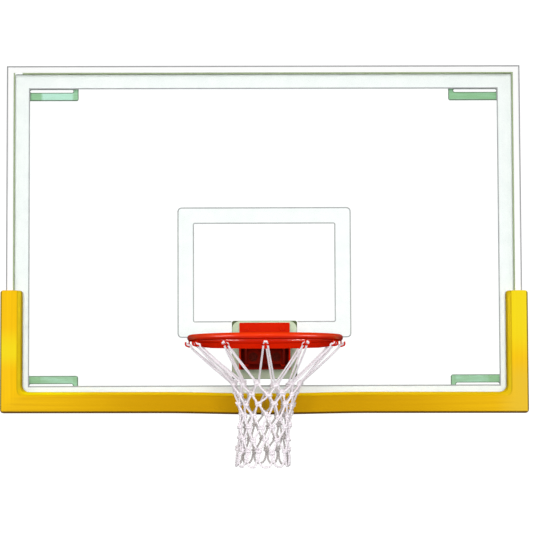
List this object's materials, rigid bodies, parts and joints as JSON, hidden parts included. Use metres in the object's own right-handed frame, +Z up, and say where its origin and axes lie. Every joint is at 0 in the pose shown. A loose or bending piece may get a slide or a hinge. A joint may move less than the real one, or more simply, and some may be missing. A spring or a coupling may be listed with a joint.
{
  "type": "basketball backboard",
  "caption": "Glass basketball backboard in an aluminium frame with printed target, corner mounting brackets, moulded edge padding, breakaway hinged hoop and cord net.",
  "frame": {"origin": "centre of the four corner slots, on the rear mounting plane of the board", "axes": "+X to the right seen from the court, +Y to the rear, away from the court, +Z up"},
  "size_m": [1.8574, 0.6865, 1.3876],
  "materials": {
    "glass": "clear polished",
    "white_enamel": "fired gloss",
    "frame_aluminium": "satin anodised",
    "key_aluminium": "as cast",
    "sage_seal": "satin",
    "bracket_green": "satin paint",
    "zinc_steel": "zinc plated",
    "pad_yellow": "moulded urethane",
    "backing_green": "satin paint",
    "white_nylon": "moulded",
    "black_rubber": "matte",
    "rim_red": "gloss powder coat",
    "spring_steel": "oiled",
    "bronze": "turned",
    "net_cord": "twisted nylon"
  },
  "bodies": {
    "board": {"glass_panel": "glass", "border_print": "white_enamel", "target_print": "white_enamel", "frame_rail_top": "frame_aluminium", "frame_rail_bottom": "frame_aluminium", "frame_rail_left": "frame_aluminium", "frame_rail_right": "frame_aluminium", "corner_keys": "key_aluminium", "glazing_gasket": "sage_seal", "corner_bracket_top_left": "bracket_green", "corner_bracket_top_right": "bracket_green", "corner_bracket_bottom_left": "bracket_green", "corner_bracket_bottom_right": "bracket_green", "bracket_screws": "zinc_steel", "edge_pad_left": "pad_yellow", "edge_pad_right": "pad_yellow", "backing_pad": "sage_seal", "backing_plate": "backing_green", "glass_bushings": "white_nylon", "rim_gasket": "black_rubber", "rim_bolts": "zinc_steel", "rim_washers": "zinc_steel", "rim_nuts": "zinc_steel", "rim_housing": "rim_red", "hinge_pin": "zinc_steel", "pin_washer": "zinc_steel", "retaining_ring": "spring_steel", "spring_rods": "zinc_steel", "spring_seats": "zinc_steel", "spring_left": "spring_steel", "spring_right": "spring_steel", "stop_washers": "zinc_steel", "adjusting_nuts": "zinc_steel"},
    "rim": {"ring": "rim_red", "ring_brace": "rim_red", "ring_carrier": "rim_red", "pivot_bushes": "bronze", "net_hooks": "rim_red", "net": "net_cord"}
  },
  "joints": [
    {"name": "rim_tilt", "type": "hinge", "parent": "board", "child": "rim", "pos_m": [0, -0.1, -0.3806], "axis": [1, 0, 0], "range_deg": [0, 30], "stiffness_Nm_per_rad": 300, "springref_deg": -45.84, "deforming": ["spring_left", "spring_right"]}
  ]
}
